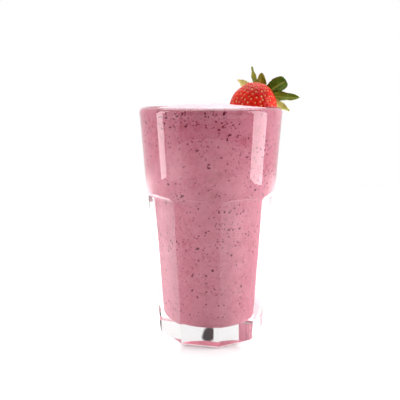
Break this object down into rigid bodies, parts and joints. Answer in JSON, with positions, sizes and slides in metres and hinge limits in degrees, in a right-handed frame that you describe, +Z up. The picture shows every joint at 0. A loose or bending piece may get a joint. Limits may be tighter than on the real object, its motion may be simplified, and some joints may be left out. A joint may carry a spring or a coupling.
{
  "type": "strawberry smoothie",
  "caption": "Thick pink strawberry smoothie in a faceted clear tumbler, with a whole strawberry slit on to the rim.",
  "frame": {"origin": "middle of the glass's foot, where it stands on the table", "axes": "+Z up along the glass's axis, -Y towards the front of the drink, +X to its right"},
  "size_m": [0.1015, 0.0981, 0.1663],
  "materials": {
    "clear_glass": "clear, polished pressed glass",
    "pink_drink": "thick blended fruit drink with dark berry specks, moist",
    "red_fruit": "glossy red fruit skin with pale seeds in dimples",
    "green_leaf": "soft green leaf"
  },
  "bodies": {
    "root": {"glass": "clear_glass", "smoothie": "pink_drink", "strawberry": "red_fruit", "strawberry_sepals": "green_leaf"}
  },
  "joints": []
}
